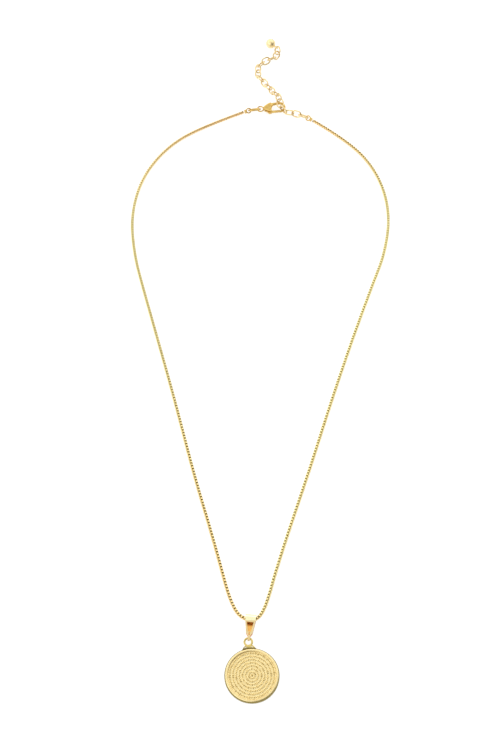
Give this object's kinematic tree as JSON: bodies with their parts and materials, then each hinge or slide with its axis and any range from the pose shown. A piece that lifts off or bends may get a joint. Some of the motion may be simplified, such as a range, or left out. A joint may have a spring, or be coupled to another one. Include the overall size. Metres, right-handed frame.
{
  "type": "prayer necklace",
  "caption": "Fine gold-tone box chain necklace with a round medal of raised marks on a folded bail, a lobster clasp and a short extender.",
  "frame": {"origin": "centre of the medal's flat back, on the surface that the necklace lies on", "axes": "+Y from the medal up to the clasp, +X to the right seen from the front, +Z out of the medal's marked face"},
  "size_m": [0.0912, 0.2482, 0.0042],
  "materials": {
    "medal_gold": "polished rim, softly cast field, pale gold plate",
    "bail_gold": "polished gold plate",
    "chain_gold": "polished gold plate",
    "clasp_gold": "polished gold plate",
    "link_gold": "polished gold plate"
  },
  "bodies": {
    "necklace": {"medal": "medal_gold", "bail": "bail_gold", "box_chain": "chain_gold", "chain_end_left": "chain_gold", "chain_end_right": "chain_gold", "clasp_ring": "link_gold", "clasp_body": "clasp_gold", "extender_ring": "link_gold", "extender_link_01": "link_gold", "extender_link_02": "link_gold", "extender_link_03": "link_gold", "extender_link_04": "link_gold", "extender_link_05": "link_gold", "extender_link_06": "link_gold", "extender_link_07": "link_gold", "extender_link_08": "link_gold", "extender_link_09": "link_gold", "extender_link_10": "link_gold", "extender_link_11": "link_gold", "extender_link_12": "link_gold", "extender_link_13": "link_gold", "extender_link_14": "link_gold", "extender_link_15": "link_gold", "extender_link_16": "link_gold", "extender_link_17": "link_gold", "end_ball": "clasp_gold"},
    "clasp_lever": {"clasp_lever": "clasp_gold"}
  },
  "joints": [
    {"name": "clasp_lever_hinge", "type": "hinge", "parent": "necklace", "child": "clasp_lever", "pos_m": [0.00585, 0.20771, 0.0013], "axis": [0, 0, 1], "range_deg": [0, 12], "stiffness_Nm_per_rad": 0.0005, "springref_deg": -17.19}
  ]
}
